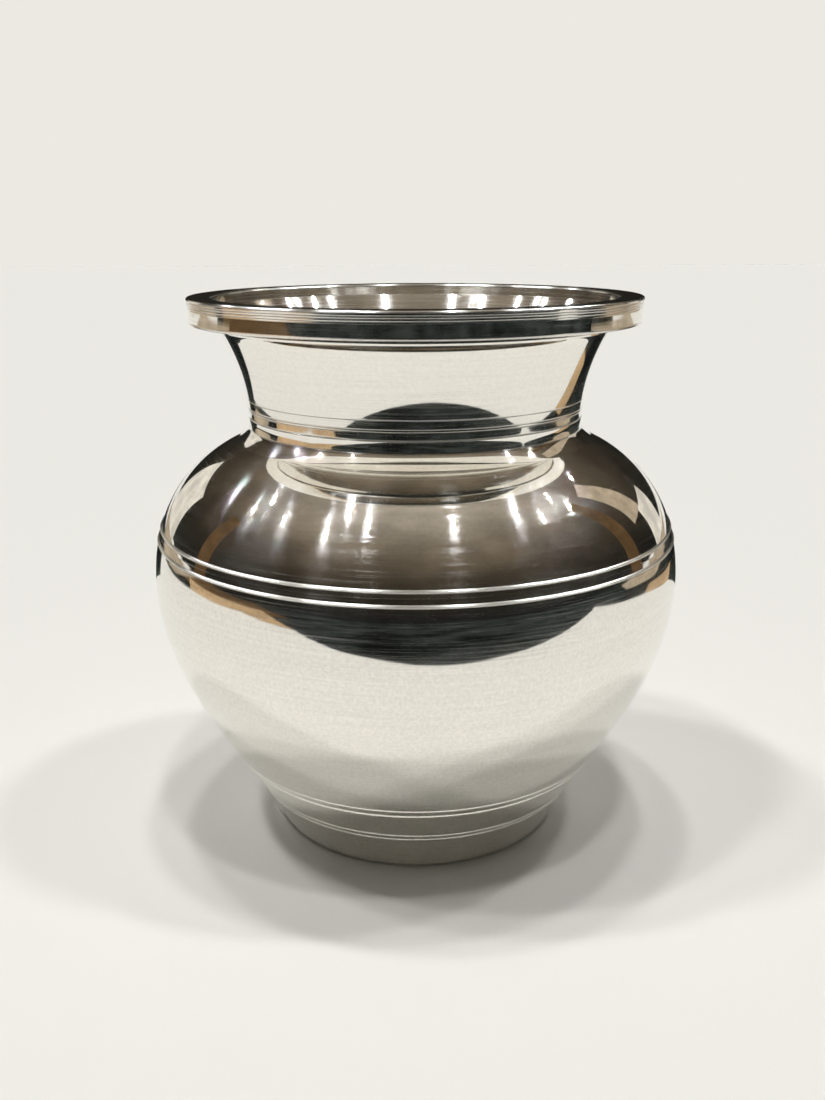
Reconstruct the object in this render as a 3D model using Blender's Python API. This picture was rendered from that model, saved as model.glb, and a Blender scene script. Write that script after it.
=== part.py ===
"""Silver lota: a spun body in two halves, two belly wires, a flared neck and a solid rim ring."""

import math

import bmesh
import bpy
from mathutils import Matrix, Vector
from mathutils.geometry import interpolate_bezier

# Driving dimensions in millimetres and degrees; heights stack upward from the base
WALL = 0.8
CLEARANCE = 0.3

BASE_RADIUS = 34.8
BASE_EDGE_ROUND = 1.2
BASE_LEAN = 22.8
BASE_PULL = 19.9

BELLY_RADIUS = 62.5
BELLY_HEIGHT = 63.0
BELLY_PULL_DOWN = 23.8
BELLY_PULL_UP = 14.0

SEAM_RISE = 11.7
SEAM_LAP = 4.0
SEAM_JOGGLE = 4.0

SHOULDER_RISE = 20.2
SHOULDER_SLOPE = 24.0
SHOULDER_PULL = 15.4

COLLAR_REACH = 4.0
COLLAR_RISE = 5.1
COLLAR_PULL_OUT = 2.0
COLLAR_PULL_UP = 2.5
COLLAR_HEIGHT = 1.0

NECK_RADIUS = 39.0
NECK_HEIGHT = 24.0
NECK_LEAN = 5.0
NECK_PULL = 9.9
NECK_LAP = 4.0
NECK_JOGGLE = 3.0

LIP_FLARE = 8.5
LIP_LEAN = 32.0
LIP_PULL = 8.2

RIM_WIDTH = 5.5
RIM_TAPER = 0.3
RIM_SEAT_DEPTH = 3.1
RIM_COVER = 2.7
RIM_EDGE_ROUND = 0.5
RIM_FOOT_ROUND = 0.3

WIRE_WIDTH = 1.1
WIRE_PROUD = 0.5
WIRE_SEAT_DEPTH = 0.3
WIRE_LAND = 0.4

# Facets round the axis, and steps along each kind of curve
SEGMENTS = 56
BOWL_STEPS = 10
SHOULDER_STEPS = 8
COLLAR_STEPS = 5
NECK_STEPS = 8
ROUND_STEPS = 3
WIRE_STEPS = 5

MILLIMETRE = 0.001
MERGE_DISTANCE = 0.001 * MILLIMETRE
SHORTEST_STEP = 0.1
SHARP_ANGLE = math.radians(35)

# Heights above the base
SEAM = BELLY_HEIGHT + SEAM_RISE
BOWL_LEDGE = SEAM - CLEARANCE / 2
SKIRT_EDGE = SEAM + CLEARANCE / 2
LOWER_WIRE = BOWL_LEDGE - WIRE_LAND - CLEARANCE - WIRE_WIDTH / 2
UPPER_WIRE = SKIRT_EDGE + WIRE_LAND + CLEARANCE + WIRE_WIDTH / 2
SHOULDER_TOP = SEAM + SHOULDER_RISE
COLLAR_FOOT = SHOULDER_TOP + COLLAR_RISE
CREASE = COLLAR_FOOT + COLLAR_HEIGHT
NECK_FOOT = CREASE + CLEARANCE
LIP = NECK_FOOT + NECK_HEIGHT
RIM_FOOT = LIP - RIM_SEAT_DEPTH
RIM_TOP = LIP + RIM_COVER


def leaning(degrees):
    """Unit step upward that leans outward from upright by an angle; x is the radius, y the height."""
    angle = math.radians(degrees)
    return Vector((math.sin(angle), math.cos(angle)))


def curve(start, start_handle, end_handle, end, steps):
    """Smooth line from start to end, pulled towards its two handles."""
    return interpolate_bezier(start, start_handle, end_handle, end, steps + 1)


def point_at(line, height):
    """Point of an upward line at a height."""
    for low, high in zip(line, line[1:]):
        if low.y <= height <= high.y:
            return low.lerp(high, (height - low.y) / (high.y - low.y))
    return line[0].copy() if height < line[0].y else line[-1].copy()


def heading_at(line, height):
    """Direction in which an upward line runs at a height."""
    for low, high in zip(line, line[1:]):
        if low.y <= height <= high.y:
            return (high - low).normalized()
    return leaning(0)


def stretch(line, low, high):
    """Part of an upward line between two heights."""
    inside = [p for p in line if low + SHORTEST_STEP < p.y < high - SHORTEST_STEP]
    return [point_at(line, low), *inside, point_at(line, high)]


def inset(line, distance):
    """Upward line moved towards the axis, square to itself."""
    moved = []
    for index, point in enumerate(line):
        before = line[max(index - 1, 0)]
        after = line[min(index + 1, len(line) - 1)]
        along = (after - before).normalized()
        moved.append(point + distance * Vector((-along.y, along.x)))
    return moved


def rounded(before, corner, after, radius):
    """Arc in place of the corner between two straight sides."""
    to_before = (before - corner).normalized()
    to_after = (after - corner).normalized()
    half = to_before.angle(to_after) / 2
    centre = corner + (to_before + to_after).normalized() * radius / math.sin(half)
    start = corner + to_before * radius / math.tan(half) - centre
    end = corner + to_after * radius / math.tan(half) - centre
    turn = math.atan2(start.x * end.y - start.y * end.x, start.dot(end))
    return [centre + Matrix.Rotation(turn * step / ROUND_STEPS, 2) @ start for step in range(ROUND_STEPS + 1)]


def with_seat(line, height):
    """Upward line with the shallow groove that a belly wire lies in, centred on a height."""
    half_seat = (WIRE_WIDTH / 2 + CLEARANCE) * heading_at(line, height).y
    low = height - half_seat
    high = height + half_seat
    floor = inset(stretch(line, low, high), WIRE_SEAT_DEPTH)
    return [*stretch(line, line[0].y, low), *floor, *stretch(line, high, line[-1].y)]


def silver(name, colour, roughness):
    """Polished silver."""
    material = bpy.data.materials.new(name)
    material.use_nodes = True
    shader = material.node_tree.nodes["Principled BSDF"]
    shader.inputs["Base Color"].default_value = (*colour, 1.0)
    shader.inputs["Metallic"].default_value = 1.0
    shader.inputs["Roughness"].default_value = roughness
    return material


def revolve(name, section, foot, material, parent):
    """Piece turned about the axis from its closed half section, standing on its foot height."""
    shape = bmesh.new()
    ring = [shape.verts.new((p.x * MILLIMETRE, 0, (p.y - foot) * MILLIMETRE)) for p in section]
    edges = [shape.edges.new(pair) for pair in zip(ring, ring[1:] + ring[:1])
             if pair[0].co.x > 0 or pair[1].co.x > 0]
    bmesh.ops.spin(shape, geom=ring + edges, cent=(0, 0, 0), axis=(0, 0, 1), angle=math.tau,
                   steps=SEGMENTS, use_merge=True)
    bmesh.ops.remove_doubles(shape, verts=shape.verts, dist=MERGE_DISTANCE)
    bmesh.ops.recalc_face_normals(shape, faces=shape.faces)
    mesh = bpy.data.meshes.new(name)
    shape.to_mesh(mesh)
    shape.free()
    mesh.shade_smooth()
    mesh.set_sharp_from_angle(angle=SHARP_ANGLE)
    mesh.materials.append(material)
    piece = bpy.data.objects.new(name, mesh)
    piece.location.z = foot * MILLIMETRE
    piece.parent = parent
    bpy.context.collection.objects.link(piece)
    return piece


def body_skin():
    """Outer line of the body, from the base edge over belly and shoulder to the crease under the neck."""
    base = Vector((BASE_RADIUS, 0))
    belly = Vector((BELLY_RADIUS, BELLY_HEIGHT))
    bowl = curve(base, base + BASE_PULL * leaning(BASE_LEAN),
                 belly - BELLY_PULL_DOWN * leaning(0), belly, BOWL_STEPS)

    collar = Vector((NECK_RADIUS, COLLAR_FOOT))
    top = Vector((NECK_RADIUS + COLLAR_REACH, SHOULDER_TOP))
    down_slope = leaning(90 + SHOULDER_SLOPE)
    shoulder = curve(belly, belly + BELLY_PULL_UP * leaning(0),
                     top + SHOULDER_PULL * down_slope, top, SHOULDER_STEPS)
    fillet = curve(top, top - COLLAR_PULL_OUT * down_slope,
                   collar - COLLAR_PULL_UP * leaning(0), collar, COLLAR_STEPS)
    return [*bowl, *shoulder[1:], *fillet[1:], Vector((NECK_RADIUS, CREASE))]


def neck_skin():
    """Outer line of the neck, from its foot on the crease to its lip inside the rim ring."""
    foot = Vector((NECK_RADIUS, NECK_FOOT))
    lip = Vector((NECK_RADIUS + LIP_FLARE, LIP))
    return curve(foot, foot + NECK_PULL * leaning(NECK_LEAN),
                 lip - LIP_PULL * leaning(LIP_LEAN), lip, NECK_STEPS)


def lower_bowl(skin):
    """Half section of the lower bowl: flat base, tapered wall and a stepped lip inside the shoulder."""
    lip_top = SEAM + SEAM_LAP
    wall = with_seat(stretch(skin, 0, BOWL_LEDGE), LOWER_WIRE)
    base_edge = rounded(Vector((0, 0)), wall[0], wall[1], BASE_EDGE_ROUND)
    lip_outside = stretch(inset(skin, WALL + CLEARANCE), BOWL_LEDGE, lip_top)
    lip_inside = stretch(inset(skin, 2 * WALL + CLEARANCE), BOWL_LEDGE, lip_top)
    inside = stretch(inset(skin, WALL), WALL, BOWL_LEDGE - SEAM_JOGGLE)
    return [Vector((0, 0)), *base_edge, *wall[1:], *lip_outside, *reversed(lip_inside), *reversed(inside),
            Vector((0, WALL))]


def shoulder(skin, neck):
    """Half section of the shoulder: skirt over the bowl's lip, collar and a stepped lip inside the neck."""
    lip_top = NECK_FOOT + NECK_LAP
    wall = with_seat(stretch(skin, SKIRT_EDGE, CREASE), UPPER_WIRE)
    lip_outside = stretch(inset(neck, WALL + CLEARANCE), NECK_FOOT, lip_top)
    lip_inside = stretch(inset(neck, 2 * WALL + CLEARANCE), NECK_FOOT, lip_top)
    lip_root = Vector((lip_outside[0].x, CREASE))
    inside = stretch(inset(skin, WALL), SKIRT_EDGE, CREASE - NECK_JOGGLE)
    return [*wall, lip_root, *lip_outside, *reversed(lip_inside), *reversed(inside)]


def neck_wall(neck):
    """Half section of the neck: an even sheet that flares from its foot to its lip."""
    inside = stretch(inset(neck, WALL), NECK_FOOT, LIP)
    return [*neck, *reversed(inside)]


def rim_ring(neck):
    """Half section of the rim ring: flat top, tapered outer band and a seat under it for the neck's lip."""
    bore = point_at(inset(neck, WALL), LIP).x
    seat = stretch(inset(neck, -CLEARANCE), RIM_FOOT, LIP)
    ledge = LIP + CLEARANCE
    outer_top = Vector((bore + RIM_WIDTH, RIM_TOP))
    outer_foot = Vector((bore + RIM_WIDTH - RIM_TAPER, RIM_FOOT))
    inner_top = Vector((bore, RIM_TOP))
    bore_foot = Vector((bore, ledge))
    return [*rounded(seat[0], outer_foot, outer_top, RIM_FOOT_ROUND),
            *rounded(outer_foot, outer_top, inner_top, RIM_EDGE_ROUND),
            *rounded(outer_top, inner_top, bore_foot, RIM_EDGE_ROUND),
            bore_foot, Vector((seat[-1].x, ledge)), *reversed(seat)]


def belly_wire(skin, height):
    """Half section of a half-round wire that lies in its groove, tilted with the skin."""
    centre = point_at(skin, height)
    along = heading_at(skin, height)
    outward = Vector((along.y, -along.x))
    back = CLEARANCE - WIRE_SEAT_DEPTH
    section = []
    for step in range(WIRE_STEPS + 1):
        angle = math.pi * step / WIRE_STEPS
        side = -math.cos(angle) * WIRE_WIDTH / 2
        crown = back + math.sin(angle) * (WIRE_PROUD - back)
        section.append(centre + side * along + crown * outward)
    return section


for leftover in list(bpy.data.objects):
    bpy.data.objects.remove(leftover)

lota = bpy.data.objects.new("lota", None)
bpy.context.collection.objects.link(lota)

body = body_skin()
neck = neck_skin()

revolve("lower_bowl", lower_bowl(body), 0, silver("bowl_silver", (0.94, 0.92, 0.88), 0.10), lota)
revolve("shoulder", shoulder(body, neck), SKIRT_EDGE,
        silver("shoulder_silver", (0.94, 0.92, 0.88), 0.07), lota)
revolve("lower_belly_wire", belly_wire(body, LOWER_WIRE), LOWER_WIRE,
        silver("lower_wire_silver", (0.95, 0.93, 0.90), 0.06), lota)
revolve("upper_belly_wire", belly_wire(body, UPPER_WIRE), UPPER_WIRE,
        silver("upper_wire_silver", (0.95, 0.93, 0.90), 0.06), lota)
revolve("neck", neck_wall(neck), NECK_FOOT, silver("neck_silver", (0.94, 0.92, 0.88), 0.09), lota)
revolve("rim_ring", rim_ring(neck), RIM_FOOT, silver("rim_silver", (0.94, 0.92, 0.89), 0.06), lota)
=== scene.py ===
"""Dresses the silver lota: six turned pieces with their polish, on a pale table in soft studio light."""

import math

import bpy
from mathutils import Matrix, Vector
from mathutils.geometry import interpolate_bezier


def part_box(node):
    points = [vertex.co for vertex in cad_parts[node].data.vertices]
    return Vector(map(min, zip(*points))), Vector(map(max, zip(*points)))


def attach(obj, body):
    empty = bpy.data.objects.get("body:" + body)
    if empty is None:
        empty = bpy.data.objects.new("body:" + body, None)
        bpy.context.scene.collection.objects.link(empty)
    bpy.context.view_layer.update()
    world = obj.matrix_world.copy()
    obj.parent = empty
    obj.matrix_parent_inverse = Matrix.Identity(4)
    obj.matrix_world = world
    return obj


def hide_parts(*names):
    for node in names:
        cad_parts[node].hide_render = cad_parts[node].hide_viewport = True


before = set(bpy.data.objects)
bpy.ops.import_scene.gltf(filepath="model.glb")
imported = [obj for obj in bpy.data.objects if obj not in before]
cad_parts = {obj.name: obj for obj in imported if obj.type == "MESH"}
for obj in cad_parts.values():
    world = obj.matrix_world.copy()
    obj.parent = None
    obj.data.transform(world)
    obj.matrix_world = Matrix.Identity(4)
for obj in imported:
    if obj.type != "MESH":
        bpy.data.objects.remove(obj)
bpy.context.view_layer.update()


# Lower bowl
# A flat-based bowl spun from one silver disc; its stepped lip stands hidden inside the shoulder's skirt.
# Two pairs of lines are cut round its foot on the lathe, and buffing left hairlines round the axis.
MM = 0.001
TURNED_SIDES = 160
CORNER_STEPS = 5
CORNER_PULL = 2 / 3

wall = 0.8
solder_gap = 0.02
cad_clearance = 0.3

belly_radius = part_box("lower_bowl")[1].x / MM
bowl_lip_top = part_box("lower_bowl")[1].z / MM
belly_height = 63.0
belly_pull_down = 25.0
belly_pull_up = 13.0
base_radius = 34.8
base_lean = 22.8
base_pull = 19.9
base_edge = 1.3
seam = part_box("shoulder")[0].z / MM - cad_clearance / 2
seam_joggle = 4.0
seam_gap = 0.004
seam_edge = 0.003

neck_radius = 39.0
collar_reach = 4.0
shoulder_top = 94.9
shoulder_slope = 24.0
shoulder_pull = 15.4

wire_width = 0.7
wire_seat_depth = 0.3
lower_wire_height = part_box("lower_belly_wire")[0].z / MM + wire_width / 2

foot_lines = ((10.2, 0.5), (11.55, 0.5), (19.05, 0.85), (20.9, 0.6))
foot_line_steepness = 0.27

crisp_edge = 0.05
sheet_edge = 0.1
joggle_top = 0.4
joggle_foot = 0.8
floor_round = 1.0

silver_colour = (0.95, 0.925, 0.87)


def leaning(degrees):
    """Unit step upward that leans outward from upright; x is the radius and y the height."""
    angle = math.radians(degrees)
    return Vector((math.sin(angle), math.cos(angle)))


def bend(start, start_handle, end_handle, end, steps):
    """Smooth run of points from start to end, pulled towards its two handles."""
    return interpolate_bezier(start, start_handle, end_handle, end, steps + 1)


def straight(start, end, steps=1):
    """Straight run of points."""
    return [start.lerp(end, step / steps) for step in range(steps + 1)]


def point_at(line, height):
    """Point of an upward line at a height."""
    for low, high in zip(line, line[1:]):
        if low.y <= height <= high.y:
            return low.lerp(high, (height - low.y) / (high.y - low.y))
    return line[0].copy() if height < line[0].y else line[-1].copy()


def heading_at(line, height):
    """Direction in which an upward line runs at a height."""
    for low, high in zip(line, line[1:]):
        if low.y <= height <= high.y:
            return (high - low).normalized()
    return leaning(0)


def stretch(line, low, high):
    """Part of an upward line between two heights."""
    least_step = 0.02
    inside = [p for p in line if low + least_step < p.y < high - least_step]
    return [point_at(line, low), *inside, point_at(line, high)]


def inset(line, distance):
    """Upward line moved towards the axis, square to itself."""
    moved = []
    for index, point in enumerate(line):
        before = line[max(index - 1, 0)]
        after = line[min(index + 1, len(line) - 1)]
        along = (after - before).normalized()
        moved.append(point + distance * Vector((-along.y, along.x)))
    return moved


def scribed(line, height, width, depth):
    """Upward line with one shallow round-bottomed cut in it, as a lathe tool leaves."""
    cut_steps = 8
    along = heading_at(line, height)
    half = width / 2 * along.y
    cut = []
    for step in range(cut_steps + 1):
        share = 2 * step / cut_steps - 1
        dip = depth * (1 + math.cos(math.pi * share)) / 2
        cut.append(point_at(line, height + share * half) + dip * Vector((-along.y, along.x)))
    below = stretch(line, line[0].y, height - half)[:-1]
    above = stretch(line, height + half, line[-1].y)[1:]
    return [*below, *cut, *above]


def shortened(run, length):
    """Run of points with a length taken off its start."""
    points = list(run)
    while (points[1] - points[0]).length <= length:
        length -= (points[1] - points[0]).length
        points.pop(0)
    points[0] = points[0] + length * (points[1] - points[0]).normalized()
    return points


def joined(runs, closed=True):
    """Outline from pairs of a run and the length that eases the corner at its end."""
    eased = []
    count = len(runs)
    for index, (run, ease) in enumerate(runs):
        ease_before = runs[index - 1][1] if closed or index else 0
        ease_after = ease if closed or index < count - 1 else 0
        kept = shortened(shortened(run, ease_before)[::-1], ease_after)[::-1]
        eased.extend(kept)
        if ease_after:
            corner = run[-1]
            onward = shortened(runs[(index + 1) % count][0], ease_after)[0]
            round_start = kept[-1].lerp(corner, CORNER_PULL)
            round_end = onward.lerp(corner, CORNER_PULL)
            eased.extend(bend(kept[-1], round_start, round_end, onward, CORNER_STEPS)[1:-1])
    return eased


def turned(name, outline, closed=True):
    """Piece turned round the axis from an outline in millimetres that runs up outside and down inside.

    Each point keeps how far it lies along the outline, which places the polish lines, whether it is
    inside, and how tightly the outline turns there, since tight edges wear dull.
    """
    count = len(outline)
    top = max(point.y for point in outline)
    top_touch = 0.001
    top_band = 0.3
    axis_touch = 1e-6
    gentle_turn = 0.3
    rings = []
    points = []
    normals = []
    polish = []
    inside = []
    worn = []
    over_top = False
    travelled = 0.0
    for index, point in enumerate(outline):
        before = outline[index - 1] if closed or index else point
        after = outline[(index + 1) % count] if closed or index < count - 1 else point
        along = (after - before).normalized()
        steps = [step for step in (point - before, after - point) if step.length > 0]
        mean_step = (after - before).length / 2
        turn = steps[0].angle(steps[-1]) / mean_step
        travelled += (point - before).length
        over_top = over_top or point.y > top - top_touch
        sides = TURNED_SIDES if point.x > axis_touch else 1
        rings.append([len(points) + side for side in range(sides)])
        for side in range(sides):
            angle = math.tau * side / TURNED_SIDES
            points.append((point.x * MM * math.cos(angle), point.x * MM * math.sin(angle), point.y * MM))
            outward = along.y if sides > 1 else 0.0
            normals.append((outward * math.cos(angle), outward * math.sin(angle), -along.x))
            polish.append(travelled)
            inside.append(1.0 if over_top and point.y < top - top_band else 0.0)
            worn.append(min(max(turn - gentle_turn, 0.0), 1.0))
    faces = []
    pairs = list(zip(rings, rings[1:]))
    if closed:
        pairs.append((rings[-1], rings[0]))
    for lower, upper in pairs:
        for side in range(TURNED_SIDES):
            onward = (side + 1) % TURNED_SIDES
            corners = (lower[side % len(lower)], lower[onward % len(lower)],
                       upper[onward % len(upper)], upper[side % len(upper)])
            faces.append(tuple(dict.fromkeys(corners)))
    mesh = bpy.data.meshes.new(name)
    mesh.from_pydata(points, [], faces)
    mesh.shade_smooth()
    mesh.normals_split_custom_set_from_vertices(normals)
    mesh.attributes.new("polish", "FLOAT", "POINT").data.foreach_set("value", polish)
    mesh.attributes.new("inside", "FLOAT", "POINT").data.foreach_set("value", inside)
    mesh.attributes.new("worn", "FLOAT", "POINT").data.foreach_set("value", worn)
    piece = bpy.data.objects.new(name, mesh)
    bpy.context.collection.objects.link(piece)
    return piece


def ranged(tree, value, low, high, out_low, out_high):
    """Node value carried from one range to another, and held at its ends."""
    carried = tree.nodes.new("ShaderNodeMapRange")
    carried.inputs["From Min"].default_value = low
    carried.inputs["From Max"].default_value = high
    carried.inputs["To Min"].default_value = out_low
    carried.inputs["To Max"].default_value = out_high
    tree.links.new(value, carried.inputs["Value"])
    return carried.outputs["Result"]


def silver(name, colour, roughness, hairline_depth, wave_depth, bloom):
    """Polished silver, buffed round the axis: hairlines, shallow waves left by spinning, a faint bloom."""
    quarter_turn = 0.25
    spots_per_mm = 1.5
    uneven_polish = 0.3
    buffing_range = (0.3, 0.7)
    scratch_range = (0.607, 0.667)
    bloom_range = (0.65, 1.05)
    scratch_roughness = 0.22
    inner_roughness = 0.07
    edge_roughness = 0.22
    drawn_share = 0.7
    material = bpy.data.materials.new(name)
    material.use_nodes = True
    tree = material.node_tree
    nodes = tree.nodes
    links = tree.links
    shader = nodes["Principled BSDF"]
    shader.inputs["Metallic"].default_value = 1.0
    shader.inputs["Anisotropic"].default_value = 1.0
    shader.inputs["Anisotropic Rotation"].default_value = quarter_turn

    grain = nodes.new("ShaderNodeTangent")
    grain.direction_type = "RADIAL"
    grain.axis = "Z"
    links.new(grain.outputs["Tangent"], shader.inputs["Tangent"])

    place = nodes.new("ShaderNodeTexCoord")
    level = nodes.new("ShaderNodeVectorMath")
    level.operation = "MULTIPLY"
    level.inputs[1].default_value = (1.0, 1.0, 0.0)
    links.new(place.outputs["Object"], level.inputs[0])
    around = nodes.new("ShaderNodeVectorMath")
    around.operation = "NORMALIZE"
    links.new(level.outputs["Vector"], around.inputs[0])
    path = nodes.new("ShaderNodeAttribute")
    path.attribute_name = "polish"
    along = nodes.new("ShaderNodeCombineXYZ")
    links.new(path.outputs["Fac"], along.inputs["Z"])
    lathe = nodes.new("ShaderNodeVectorMath")
    lathe.operation = "ADD"
    links.new(around.outputs["Vector"], lathe.inputs[0])
    links.new(along.outputs["Vector"], lathe.inputs[1])

    def lines(turns, per_mm, detail):
        """Noise drawn out round the axis into lines."""
        drawn_out = nodes.new("ShaderNodeVectorMath")
        drawn_out.operation = "MULTIPLY"
        drawn_out.inputs[1].default_value = (turns, turns, per_mm)
        links.new(lathe.outputs["Vector"], drawn_out.inputs[0])
        noise = nodes.new("ShaderNodeTexNoise")
        noise.inputs["Scale"].default_value = 1.0
        noise.inputs["Detail"].default_value = detail
        links.new(drawn_out.outputs["Vector"], noise.inputs["Vector"])
        return noise.outputs["Fac"]

    def summed(first, second):
        """Sum of two values."""
        total = nodes.new("ShaderNodeMath")
        total.operation = "ADD"
        links.new(first, total.inputs[0])
        links.new(second, total.inputs[1])
        return total.outputs["Value"]

    hairlines = lines(turns=1.6, per_mm=4.0, detail=3.0)
    waves = lines(turns=0.9, per_mm=0.6, detail=1.5)
    buffing = lines(turns=2.2, per_mm=1.7, detail=2.0)
    scratches = lines(turns=1.2, per_mm=40.0, detail=2.0)
    spots = nodes.new("ShaderNodeTexNoise")
    spots.inputs["Scale"].default_value = spots_per_mm / MM
    spots.inputs["Detail"].default_value = 3.0
    links.new(place.outputs["Object"], spots.inputs["Vector"])
    inner_face = nodes.new("ShaderNodeAttribute")
    inner_face.attribute_name = "inside"
    tight_edge = nodes.new("ShaderNodeAttribute")
    tight_edge.attribute_name = "worn"

    bump = nodes.new("ShaderNodeBump")
    bump.inputs["Distance"].default_value = 1.0
    hairline_relief = ranged(tree, hairlines, 0.0, 1.0, 0.0, hairline_depth * MM)
    wave_relief = ranged(tree, waves, 0.0, 1.0, 0.0, wave_depth * MM)
    links.new(summed(hairline_relief, wave_relief), bump.inputs["Height"])
    links.new(bump.outputs["Normal"], shader.inputs["Normal"])

    least_dull = roughness * (1 - uneven_polish)
    most_dull = roughness * (1 + uneven_polish)
    mirror_dullness = ranged(tree, buffing, *buffing_range, least_dull, most_dull)
    scratch_dullness = ranged(tree, scratches, *scratch_range, 0.0, scratch_roughness)
    inner_dullness = ranged(tree, inner_face.outputs["Fac"], 0.0, 1.0, 0.0, inner_roughness)
    edge_dullness = ranged(tree, tight_edge.outputs["Fac"], 0.0, 1.0, 0.0, edge_roughness)
    polish_dullness = summed(mirror_dullness, scratch_dullness)
    worn_dullness = summed(inner_dullness, edge_dullness)
    links.new(summed(polish_dullness, worn_dullness), shader.inputs["Roughness"])

    tint = nodes.new("ShaderNodeMix")
    tint.data_type = "RGBA"
    tint.inputs["A"].default_value = (*(channel * (1 - bloom) for channel in colour), 1.0)
    tint.inputs["B"].default_value = (*colour, 1.0)
    drawn_bloom = ranged(tree, summed(buffing, hairlines), 0.0, 2.0, 0.0, drawn_share)
    clear_share = ranged(tree, summed(spots.outputs["Fac"], drawn_bloom), *bloom_range, 0.0, 1.0)
    links.new(clear_share, tint.inputs["Factor"])
    links.new(tint.outputs["Result"], shader.inputs["Base Color"])
    return material


belly = Vector((belly_radius, belly_height))
base_rim = Vector((base_radius, 0.0))
shoulder_edge = Vector((neck_radius + collar_reach, shoulder_top))
down_slope = leaning(90 + shoulder_slope)
body_skin = [
    *bend(base_rim, base_rim + base_pull * leaning(base_lean),
          belly - belly_pull_down * leaning(0), belly, steps=48),
    *bend(belly, belly + belly_pull_up * leaning(0),
          shoulder_edge + shoulder_pull * down_slope, shoulder_edge, steps=40)[1:],
]


def seated(line, height, top_ease):
    """Runs of an upward line with the shallow seat that a belly wire lies in."""
    half = (wire_width / 2 + solder_gap) * heading_at(line, height).y
    low = point_at(line, height - half)
    high = point_at(line, height + half)
    floor = inset(stretch(line, height - half, height + half), wire_seat_depth)
    return [
        (stretch(line, line[0].y, low.y), crisp_edge),
        (straight(low, floor[0]), crisp_edge),
        (floor, crisp_edge),
        (straight(floor[-1], high), crisp_edge),
        (stretch(line, high.y, line[-1].y), top_ease),
    ]


bowl_ledge = seam - seam_gap / 2
bowl_wall = stretch(body_skin, 0, bowl_ledge)
for height, width in foot_lines:
    bowl_wall = scribed(bowl_wall, height, width, foot_line_steepness * width)
lip_outside = stretch(inset(body_skin, wall + solder_gap), bowl_ledge, bowl_lip_top)
lip_inside = stretch(inset(body_skin, 2 * wall + solder_gap), bowl_ledge, bowl_lip_top)
bowl_inside = stretch(inset(body_skin, wall), wall, bowl_ledge - seam_joggle)
bowl_floor_edge = bowl_inside[0]
lower_bowl = turned("silver_lower_bowl", joined([
    (straight(Vector((0, 0)), base_rim, steps=6), base_edge),
    *seated(bowl_wall, lower_wire_height, seam_edge),
    (straight(bowl_wall[-1], lip_outside[0]), crisp_edge),
    (lip_outside, sheet_edge),
    (straight(lip_outside[-1], lip_inside[-1]), sheet_edge),
    (lip_inside[::-1], joggle_top),
    (straight(lip_inside[0], bowl_inside[-1], steps=3), joggle_foot),
    (bowl_inside[::-1], floor_round),
    (straight(bowl_floor_edge, Vector((0, wall)), steps=6), 0),
], closed=False), closed=False)
lower_bowl.data.materials.append(silver("bowl_silver", silver_colour, roughness=0.03,
                                        hairline_depth=0.0016, wave_depth=0.005, bloom=0.13))
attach(lower_bowl, "root")
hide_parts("lower_bowl")


# Shoulder
# The rounded upper body, spun over a former from a second disc and soldered to the bowl between the wires.
# It turns up into an upright collar, whose stepped lip stands inside the neck, and has the finest polish.
upper_wire_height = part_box("upper_belly_wire")[0].z / MM + wire_width / 2
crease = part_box("neck")[0].z / MM - cad_clearance
collar_run = 1.2
collar_foot = 98.4
collar_pull_out = 0.8
collar_pull_up = 0.6
collar_flare = 12.0
collar_flare_pull = 1.0

neck_lap_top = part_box("shoulder")[1].z / MM
neck_joggle = 3.0
neck_foot_step = 0.15
neck_lip_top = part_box("neck")[1].z / MM
neck_lip_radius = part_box("neck")[1].x / MM
neck_foot_rise = 1.9
neck_foot_lean = 1.0
neck_lean = 2.5
neck_pull = 4.0
lip_lean = 33.0
lip_pull = 13.0

collar_edge = 0.2
lip_root_edge = 0.02
lip_foot_edge = 0.005

collar_start = shoulder_edge - collar_run * down_slope
collar_low = Vector((neck_radius, collar_foot))
collar_top = Vector((neck_radius + neck_foot_step, crease))
collared_skin = [
    *body_skin,
    *bend(collar_start, collar_start - collar_pull_out * down_slope,
          collar_low - collar_pull_up * leaning(0), collar_low, steps=16),
    *bend(collar_low, collar_low + collar_flare_pull * leaning(0),
          collar_top - collar_flare_pull * leaning(collar_flare), collar_top, steps=10)[1:],
]

neck_foot_corner = Vector((neck_radius + neck_foot_step, crease + solder_gap))
neck_foot_top = neck_foot_corner + neck_foot_rise * leaning(neck_foot_lean)
neck_lip = Vector((neck_lip_radius, neck_lip_top))
neck_skin = [
    *straight(neck_foot_corner, neck_foot_top, steps=4),
    *bend(neck_foot_top, neck_foot_top + neck_pull * leaning(neck_lean),
          neck_lip - lip_pull * leaning(lip_lean), neck_lip, steps=40)[1:],
]

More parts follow.
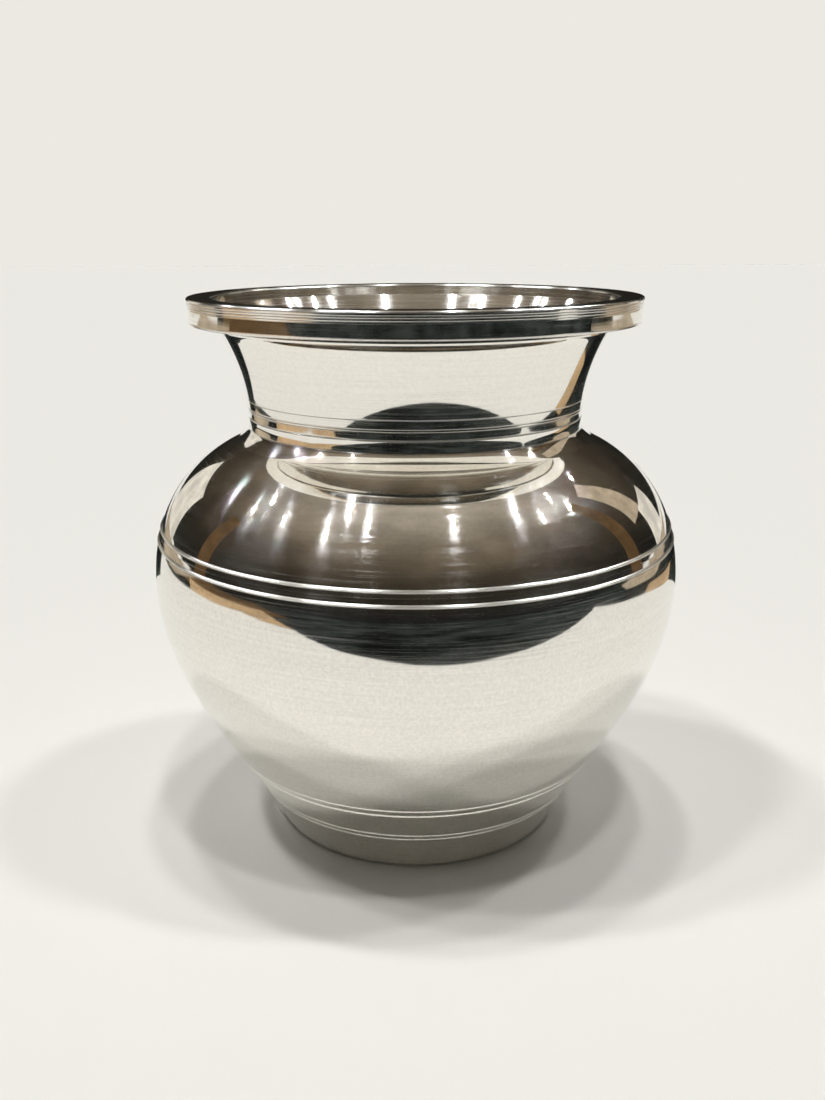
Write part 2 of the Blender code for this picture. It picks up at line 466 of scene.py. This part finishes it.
skirt_edge = seam + seam_gap / 2
shoulder_wall = stretch(collared_skin, skirt_edge, crease)
collar_lip_outside = stretch(inset(neck_skin, wall + solder_gap), neck_foot_corner.y, neck_lap_top)
collar_lip_inside = stretch(inset(neck_skin, 2 * wall + solder_gap), neck_foot_corner.y, neck_lap_top)
collar_lip_root = Vector((collar_lip_outside[0].x, crease))
shoulder_inside = stretch(inset(collared_skin, wall), skirt_edge, crease - neck_joggle)
shoulder = turned("silver_shoulder", joined([
    *seated(shoulder_wall, upper_wire_height, collar_edge),
    (straight(shoulder_wall[-1], collar_lip_root), lip_root_edge),
    (straight(collar_lip_root, collar_lip_outside[0]), lip_foot_edge),
    (collar_lip_outside, sheet_edge),
    (straight(collar_lip_outside[-1], collar_lip_inside[-1]), sheet_edge),
    (collar_lip_inside[::-1], joggle_top),
    (straight(collar_lip_inside[0], shoulder_inside[-1], steps=3), joggle_foot),
    (shoulder_inside[::-1], sheet_edge),
    (straight(shoulder_inside[0], shoulder_wall[0]), seam_edge),
]))
shoulder.data.materials.append(silver("shoulder_silver", silver_colour, roughness=0.022,
                                      hairline_depth=0.0002, wave_depth=0.004, bloom=0.06))
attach(shoulder, "root")
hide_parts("shoulder")


# Belly wires
# Two half-round silver wires, drawn through a plate, bent into hoops and soldered into shallow seats.
# They stiffen the seam that runs between them, and their crowns are the brightest lines on the pot.
wire_proud = 0.32
wire_steps = 12
wire_edge = 0.03
wire_colour = (0.97, 0.945, 0.89)
wire_silver = silver("wire_silver", wire_colour, roughness=0.14, hairline_depth=0.0004, wave_depth=0.003,
                     bloom=0.05)

for wire_name, node, height in (("silver_lower_belly_wire", "lower_belly_wire", lower_wire_height),
                                ("silver_upper_belly_wire", "upper_belly_wire", upper_wire_height)):
    centre = point_at(body_skin, height)
    along = heading_at(body_skin, height)
    outward = Vector((along.y, -along.x))
    back = solder_gap - wire_seat_depth
    crown = []
    for step in range(wire_steps + 1):
        angle = math.pi * step / wire_steps
        side = -math.cos(angle) * wire_width / 2
        crown.append(centre + side * along + math.sin(angle) * wire_proud * outward)
    low_back = crown[0] + back * outward
    high_back = crown[-1] + back * outward
    wire = turned(wire_name, joined([
        (crown, wire_edge),
        (straight(crown[-1], high_back), crisp_edge),
        (straight(high_back, low_back), crisp_edge),
        (straight(low_back, crown[0]), wire_edge),
    ]))
    wire.data.materials.append(wire_silver)
    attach(wire, "root")
    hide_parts(node)


# Neck
# A flared collar of sheet silver, spun separately and soldered over the shoulder's lip.
# Its own lip stands in the rim ring, and three lines are cut round its foot beside the joint.
neck_line_heights = (102.77, 103.27, 105.25)
neck_line_width = 0.24
neck_line_depth = 0.022
rim_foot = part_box("rim_ring")[0].z / MM
fillet_foot_height = 119.15
fillet_radius = 4.4
fillet_end_lean = 56.0
fillet_steps = 14
fillet_edge = 0.04
land_foot_height = 121.25
land_foot_edge = 0.08
land_top_edge = 0.02
neck_foot_edge = 0.2

fillet_foot = point_at(neck_skin, fillet_foot_height)
fillet_heading = heading_at(neck_skin, fillet_foot_height)
fillet_start_lean = math.degrees(math.atan2(fillet_heading.x, fillet_heading.y))
fillet = []
for step in range(fillet_steps + 1):
    heading = leaning(fillet_start_lean + (fillet_end_lean - fillet_start_lean) * step / fillet_steps)
    swing = Vector((fillet_heading.y - heading.y, heading.x - fillet_heading.x))
    fillet.append(fillet_foot + fillet_radius * swing)
land_top = point_at(neck_skin, rim_foot - solder_gap)
land_foot = Vector((land_top.x, land_foot_height))
neck_wall = stretch(neck_skin, neck_foot_corner.y, fillet_foot_height)
for height in neck_line_heights:
    neck_wall = scribed(neck_wall, height, neck_line_width, neck_line_depth)
neck_lip_outside = stretch(neck_skin, rim_foot - solder_gap, neck_lip_top)
neck_inside = stretch(inset(neck_skin, wall), neck_foot_corner.y, neck_lip_top)
neck = turned("silver_neck", joined([
    ([*neck_wall, *fillet[1:]], fillet_edge),
    (straight(fillet[-1], land_foot), land_foot_edge),
    (straight(land_foot, land_top), land_top_edge),
    (neck_lip_outside, crisp_edge),
    (straight(neck_lip_outside[-1], neck_inside[-1]), crisp_edge),
    (neck_inside[::-1], sheet_edge),
    (straight(neck_inside[0], neck_wall[0]), neck_foot_edge),
]))
neck.data.materials.append(silver("neck_silver", silver_colour, roughness=0.028, hairline_depth=0.0004,
                                  wave_depth=0.005, bloom=0.08))
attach(neck, "root")
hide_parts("neck")


# Rim ring
# A thick ring turned from bar, with a flat top and an upright band, its seat soldered over the neck's lip.
# The upper two fifths of the band lean out a little and carry fine turned lines.
rim_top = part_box("rim_ring")[1].z / MM
rim_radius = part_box("rim_ring")[1].x / MM
band_waist_height = 125.5
band_waist_inset = 0.35
band_foot_inset = 0.38
band_waist_edge = 0.1
rim_edge = 0.6
rim_foot_edge = 0.65
rim_bore_edge = 0.6
rim_line_heights = (125.95, 126.5, 127.0)
rim_line_width = 0.26
rim_line_depth = 0.02

bore = point_at(inset(neck_skin, wall), neck_lip_top).x
rim_seat = stretch(inset(neck_skin, -solder_gap), rim_foot, neck_lip_top)
rim_ledge = neck_lip_top + solder_gap
outer_top = Vector((rim_radius, rim_top))
band_waist = Vector((rim_radius - band_waist_inset, band_waist_height))
band_foot = Vector((rim_radius - band_foot_inset, rim_foot))
bore_top = Vector((bore, rim_top))
bore_foot = Vector((bore, rim_ledge))
seat_top = Vector((rim_seat[-1].x, rim_ledge))
upper_band = straight(band_waist, outer_top, steps=8)
for height in rim_line_heights:
    upper_band = scribed(upper_band, height, rim_line_width, rim_line_depth)
rim_ring = turned("silver_rim_ring", joined([
    (straight(rim_seat[0], band_foot, steps=3), rim_foot_edge),
    (straight(band_foot, band_waist, steps=4), band_waist_edge),
    (upper_band, rim_edge),
    (straight(outer_top, bore_top, steps=4), rim_bore_edge),
    (straight(bore_top, bore_foot, steps=2), crisp_edge),
    (straight(bore_foot, seat_top, steps=2), 0),
    ([seat_top, *rim_seat[::-1]], crisp_edge),
]))
rim_ring.data.materials.append(silver("rim_silver", silver_colour, roughness=0.028, hairline_depth=0.0004,
                                      wave_depth=0.003, bloom=0.06))
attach(rim_ring, "root")
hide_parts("rim_ring")


# Table
# A plain pale table top, matt, on which the lota stands.
# It lies a hair below the base, so that the two faces never fight.
table_reach = 4.0
table_drop = 0.0002
table_colour = (0.88, 0.865, 0.82)


def stage_card(name, corners, colour):
    """Flat matt card of the stage, of one colour."""
    mesh = bpy.data.meshes.new(name)
    mesh.from_pydata(corners, [], [tuple(range(len(corners)))])
    finish = bpy.data.materials.new(name)
    finish.use_nodes = True
    shader = finish.node_tree.nodes["Principled BSDF"]
    shader.inputs["Base Color"].default_value = (*colour, 1.0)
    shader.inputs["Roughness"].default_value = 1.0
    shader.inputs["Specular IOR Level"].default_value = 0.0
    mesh.materials.append(finish)
    card = bpy.data.objects.new(name, mesh)
    bpy.context.collection.objects.link(card)
    return card


table_corners = [
    (-table_reach, -table_reach, -table_drop),
    (table_reach, -table_reach, -table_drop),
    (table_reach, table_reach, -table_drop),
    (-table_reach, table_reach, -table_drop),
]
stage_card("table", table_corners, table_colour)


# Dark surround, painted as reflections
# Glowing black cards lie on the table round the lota as painted reflections of studio flags, with a few
# paler glowing cards, and glowing boards stand further out.
# The glowing dome over them is painted lighter towards its top. Only the polished silver mirrors any of
# it, and none of it lights or shades anything.
studio = 2.4
flag_lift = 0.0004
flag_patches = (0.6, 3.6)
card_patches = (0.8, 1.2)
patch_range = (0.38, 0.66)
card_patches_per_metre = 5.0

# Glow colours of the painted reflections: a dark room in black, wood in oak and walnut, pale panels in
# cream and beige. Unlit is the cards' own base colour, under their glow.
reflected_black = (0.012, 0.014, 0.013)
reflected_oak = (0.56, 0.39, 0.22)
reflected_walnut = (0.11, 0.065, 0.03)
reflected_cream = (0.74, 0.70, 0.62)
reflected_beige = (0.45, 0.37, 0.27)
unlit = (0.0, 0.0, 0.0)

front_left = (-0.50, -0.17)
front_corner = (-0.28, -0.275)
front_right = (0.57, -0.165)
side_right = (0.36, 0.08)
back_right = (0.228, 0.165)
back_left = (-0.205, 0.185)
side_left = (-0.32, 0.33)
corner_left = (-0.47, 0.10)
behind_left = (-0.45, 0.5)
behind_right = (0.45, 0.5)
far_front_left = (-studio, -0.6)
far_front_right = (studio, -0.6)
far_back_left = (-studio, 0.5)
far_back_right = (studio, 0.5)
nearest_left = (-studio, -studio)
nearest_right = (studio, -studio)
front_left_pull = (-0.1, -0.2)
front_right_pull = (0.1, -0.15)
front_edge = bend(Vector(front_corner), Vector(front_left_pull),
                  Vector(front_right_pull), Vector(front_right), steps=16)

# Painted reflections that lie flat: glowing cards that only the silver mirrors.
# Each card has its name, its colour, its layer above the table and its corners.
floor_cards = (
    ("front_flag_reflection", reflected_black, 1, (front_left, *front_edge, far_front_right,
                              nearest_right, nearest_left, far_front_left)),
    ("right_flag_reflection", reflected_black, 1, (front_right, side_right, back_right,
                              behind_right, far_back_right, far_front_right)),
    ("back_flag_reflection", reflected_black, 1, (back_right, back_left, side_left, behind_left, behind_right)),
    ("left_flag_reflection", reflected_black, 1, (side_left, corner_left, front_left,
                             far_front_left, far_back_left, behind_left)),
    ("left_boards_reflection", reflected_walnut, 2, ((-0.6, -0.5), (-0.6, 0.36), (-1.8, 0.36), (-1.8, -0.7))),
    ("left_edging_reflection", reflected_oak, 3, (front_corner, front_left, corner_left, (-0.78, 0.22), (-0.82, -0.42))),
    ("right_edging_reflection", reflected_oak, 2, (side_right, back_right, (0.25, 0.235), (0.42, 0.14))),
    ("left_far_card_reflection", reflected_beige, 3, ((-0.36, 0.34), (-0.46, 0.22), (-1.3, 0.22), (-1.3, 1.0), (-0.5, 1.0))),
    ("right_far_card_reflection", reflected_beige, 3, ((0.44, 0.20), (0.72, 0.05), (1.3, 0.05), (1.3, 1.0), (0.6, 1.0))),
)

# Painted reflections that stand upright: glowing boards that only the silver mirrors.
# Each board has its name, its colour, the bearings of its two sides and the heights of its foot and top.
board_distance = 1.6
standing_boards = (
    ("left_panel_reflection", reflected_cream, -150, -130, 0.0, 0.62),
    ("left_post_reflection", reflected_walnut, -105, -97, 0.0, 1.1),
    ("right_panel_reflection", reflected_cream, 126, 140, 0.0, 0.45),
    ("right_board_reflection", reflected_beige, 117, 129, 0.45, 1.5),
    ("right_post_reflection", reflected_walnut, 101, 109, 0.0, 1.6),
)


def patchy(finish, per_metre, spread):
    """Strength that wanders between two amounts, in so many patches a metre."""
    tree = finish.node_tree
    place = tree.nodes.new("ShaderNodeTexCoord")
    noise = tree.nodes.new("ShaderNodeTexNoise")
    noise.inputs["Scale"].default_value = per_metre
    noise.inputs["Detail"].default_value = 3.0
    tree.links.new(place.outputs["Object"], noise.inputs["Vector"])
    return ranged(tree, noise.outputs["Fac"], *patch_range, *spread)


def mirrored_only(card):
    """Leaves a card out of everything but mirror reflections."""
    card.visible_camera = False
    card.visible_diffuse = False
    card.visible_transmission = False
    card.visible_volume_scatter = False
    card.visible_shadow = False


def mirrored_card(name, corners, colour, patches):
    """Card that glows in patches of its colour, a painted reflection for the silver to mirror."""
    card = stage_card(name, corners, unlit)
    finish = card.data.materials[0]
    shader = finish.node_tree.nodes["Principled BSDF"]
    shader.inputs["Emission Color"].default_value = (*colour, 1.0)
    strength = patchy(finish, card_patches_per_metre, patches)
    finish.node_tree.links.new(strength, shader.inputs["Emission Strength"])
    mirrored_only(card)


def round_stage(degrees, height):
    """Place on the ring where the boards stand, counted from the front towards the right."""
    turn = math.radians(degrees)
    return (board_distance * math.sin(turn), -board_distance * math.cos(turn), height)


for name, colour, lift, corners in floor_cards:
    patches = flag_patches if colour == reflected_black else card_patches
    mirrored_card(name, [(x, y, flag_lift * lift) for x, y in corners], colour, patches)

for name, colour, start, end, low, high in standing_boards:
    corners = [
        round_stage(start, low),
        round_stage(end, low),
        round_stage(end, high),
        round_stage(start, high),
    ]
    mirrored_card(name, corners, colour, card_patches)

# Painted reflection of a dim room: a glowing dome that only the silver mirrors.
dome_mesh = bpy.data.meshes.new("painted_reflection_dome")
dome_rows = 24
dome_sides = 48
dome_drop = 0.01
dome_patches_per_metre = 1.3
dome_points = []
dome_faces = []
for row in range(dome_rows + 1):
    lift = row * math.pi / 2 / dome_rows
    for side in range(dome_sides):
        turn = math.tau * side / dome_sides
        across = studio * math.cos(lift)
        height = studio * math.sin(lift) - dome_drop
        dome_points.append((across * math.cos(turn), across * math.sin(turn), height))
for row in range(dome_rows):
    lower = row * dome_sides
    upper = lower + dome_sides
    for side in range(dome_sides):
        onward = (side + 1) % dome_sides
        dome_faces.append((lower + side, lower + onward, upper + onward, upper + side))
dome_mesh.from_pydata(dome_points, [], dome_faces)
dome = bpy.data.objects.new("painted_reflection_dome", dome_mesh)
bpy.context.collection.objects.link(dome)
dome_finish = bpy.data.materials.new("painted_room_reflection")
dome_finish.use_nodes = True
dome_nodes = dome_finish.node_tree.nodes
dome_links = dome_finish.node_tree.links
dome_nodes.remove(dome_nodes["Principled BSDF"])
dome_place = dome_nodes.new("ShaderNodeTexCoord")
dome_height = dome_nodes.new("ShaderNodeSeparateXYZ")
dome_links.new(dome_place.outputs["Object"], dome_height.inputs["Vector"])
dome_level = dome_nodes.new("ShaderNodeMath")
dome_level.operation = "DIVIDE"
dome_level.inputs[1].default_value = studio
dome_links.new(dome_height.outputs["Z"], dome_level.inputs[0])
dome_tone = dome_nodes.new("ShaderNodeValToRGB")
# Painted shade and light of the room: the glow is darkest at the table and lighter towards the top of the
# dome.
dome_tones = (
    (0.0, (0.012, 0.013, 0.012)),
    (0.25, (0.024, 0.0205, 0.015)),
    (0.45, (0.056, 0.045, 0.032)),
    (0.65, (0.13, 0.105, 0.075)),
    (0.8, (0.22, 0.185, 0.14)),
    (0.92, (0.33, 0.29, 0.235)),
    (1.0, (0.45, 0.40, 0.33)),
)
dome_stops = dome_tone.color_ramp.elements
while len(dome_stops) < len(dome_tones):
    dome_stops.new(position=0.5)
for stop, (level, colour) in zip(dome_stops, dome_tones):
    stop.position = level
    stop.color = (*colour, 1.0)
dome_links.new(dome_level.outputs["Value"], dome_tone.inputs["Fac"])
dome_glow = dome_nodes.new("ShaderNodeEmission")
dome_links.new(dome_tone.outputs["Color"], dome_glow.inputs["Color"])
dome_strength = patchy(dome_finish, dome_patches_per_metre, card_patches)
dome_links.new(dome_strength, dome_glow.inputs["Strength"])
dome_links.new(dome_glow.outputs["Emission"], dome_nodes["Material Output"].inputs["Surface"])
dome_mesh.materials.append(dome_finish)
mirrored_only(dome)


# Studio light
# An even pale world, and six lamps overhead that the silver doesn't mirror.
# Rows of small ceiling lamps light nothing else, and show in the silver as glints.
world_light = 0.1
backdrop_light = 0.832
world_colour = (1.0, 0.98, 0.92)

world = bpy.data.worlds.new("pale_studio")
bpy.context.scene.world = world
world.use_nodes = True
world_nodes = world.node_tree.nodes
world_links = world.node_tree.links
background = world_nodes["Background"]
background.inputs["Color"].default_value = (*world_colour, 1.0)
seen_by = world_nodes.new("ShaderNodeLightPath")
sight = seen_by.outputs["Is Camera Ray"]
for ray in ("Is Glossy Ray", "Is Transmission Ray"):
    either = world_nodes.new("ShaderNodeMath")
    either.operation = "MAXIMUM"
    world_links.new(sight, either.inputs[0])
    world_links.new(seen_by.outputs[ray], either.inputs[1])
    sight = either.outputs["Value"]
world_strength = ranged(world.node_tree, sight, 0.0, 1.0, world_light, backdrop_light)
world_links.new(world_strength, background.inputs["Strength"])

sun_power = 0.465
sun_spread = 4.0
sun_leans = ((-24, 0), (24, 0), (-21, 8), (6, 15), (-5, -5), (5, -2))
for number, (lean_right, lean_front) in enumerate(sun_leans):
    light = bpy.data.lights.new(f"lamp_{number}", "SUN")
    light.energy = sun_power
    light.angle = math.radians(sun_spread)
    lamp = bpy.data.objects.new(f"lamp_{number}", light)
    lamp.rotation_euler = (math.radians(lean_front), math.radians(lean_right), 0.0)
    lamp.visible_glossy = False
    bpy.context.collection.objects.link(lamp)

ceiling_height = 1.5
ceiling_lamp_size = 0.015
ceiling_lamp_power = 7.0
ceiling_lamp_colour = (0.93, 0.97, 1.0)
ceiling_rows = (
    (-0.54, (-0.87, -0.42, 0.33)),
    (-0.05, (-1.24, -0.47, 0.8, 1.16)),
    (0.4, (-1.65, -1.2, 1.05, 1.4)),
    (1.2, (-1.7, 1.15)),
)
for row, (y, places) in enumerate(ceiling_rows):
    for column, x in enumerate(places):
        lamp_name = f"ceiling_lamp_{row}_{column}"
        light = bpy.data.lights.new(lamp_name, "AREA")
        light.shape = "DISK"
        light.size = ceiling_lamp_size
        light.energy = ceiling_lamp_power
        light.color = ceiling_lamp_colour
        lamp = bpy.data.objects.new(lamp_name, light)
        lamp.location = (x, y, ceiling_height)
        lamp.visible_diffuse = False
        lamp.rotation_euler = Vector((-x, -y, -ceiling_height)).to_track_quat("-Z", "Y").to_euler()
        bpy.context.collection.objects.link(lamp)


# Camera
# The photograph's viewpoint: a short lens a little above the rim, tilted down at the belly.
# It stands about two belly widths from the axis of the lota.
camera_place = (0.0, -0.26035, 0.14309)
camera_tilt = 16.38
camera_turn = 0.168
camera_roll = -0.193
camera_sensor = 36.0
camera_lens = 36.09
camera_nearest = 0.01

camera_data = bpy.data.cameras.new("camera")
camera_data.sensor_width = camera_sensor
camera_data.lens = camera_lens
camera_data.clip_start = camera_nearest
camera = bpy.data.objects.new("camera", camera_data)
camera.matrix_world = (Matrix.Translation(camera_place)
                       @ Matrix.Rotation(math.radians(camera_turn), 4, "Z")
                       @ Matrix.Rotation(math.radians(90 - camera_tilt), 4, "X")
                       @ Matrix.Rotation(math.radians(camera_roll), 4, "Z"))
bpy.context.collection.objects.link(camera)
bpy.context.scene.camera = camera
bpy.context.scene.view_settings.view_transform = "Standard"
